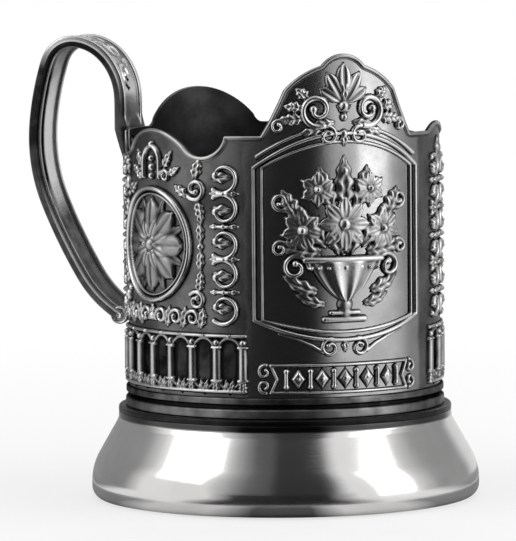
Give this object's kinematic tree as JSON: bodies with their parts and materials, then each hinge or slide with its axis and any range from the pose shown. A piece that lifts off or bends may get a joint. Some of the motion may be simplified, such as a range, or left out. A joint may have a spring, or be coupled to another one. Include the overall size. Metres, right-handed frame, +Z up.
{
  "type": "tea glass holder",
  "caption": "Tea glass holder with an ornamented metal sleeve, a crest on the rim, a strap handle and a flared polished foot.",
  "frame": {"origin": "centre of the foot's underside, on the axis of the glass, on the surface it stands on", "axes": "+Z up along the glass axis, handle along -X, front panel towards -Y and a little to +X"},
  "size_m": [0.1, 0.0862, 0.1025],
  "materials": {
    "polished_nickel": "mirror polished nickel",
    "dark_collar": "blackened nickel silver",
    "seat_metal": "dull nickel silver",
    "blackened_sleeve": "blackened nickel silver, satin",
    "worn_relief": "blackened nickel silver with worn, bright high spots",
    "handle_metal": "blackened nickel silver with bright edges"
  },
  "bodies": {
    "root": {"foot": "polished_nickel", "collar_ring": "dark_collar", "seat_plate": "seat_metal", "sleeve": "blackened_sleeve", "lower_band": "blackened_sleeve", "rim_bead": "blackened_sleeve", "front_frame": "worn_relief", "front_banner": "worn_relief", "front_motif": "worn_relief", "front_crest": "worn_relief", "strip_arcade": "worn_relief", "strip_scrolls": "worn_relief", "left_arcade": "worn_relief", "left_medallion_ring": "worn_relief", "left_rosette": "worn_relief", "left_palmette": "worn_relief", "left_scrolls": "worn_relief", "back_left_arcade": "worn_relief", "back_left_medallion_ring": "worn_relief", "back_left_rosette": "worn_relief", "back_left_palmette": "worn_relief", "back_left_scrolls": "worn_relief", "back_right_arcade": "worn_relief", "back_right_medallion_ring": "worn_relief", "back_right_rosette": "worn_relief", "back_right_palmette": "worn_relief", "back_right_scrolls": "worn_relief", "handle": "handle_metal", "upper_rivets": "handle_metal", "lower_pin": "handle_metal"}
  },
  "joints": []
}
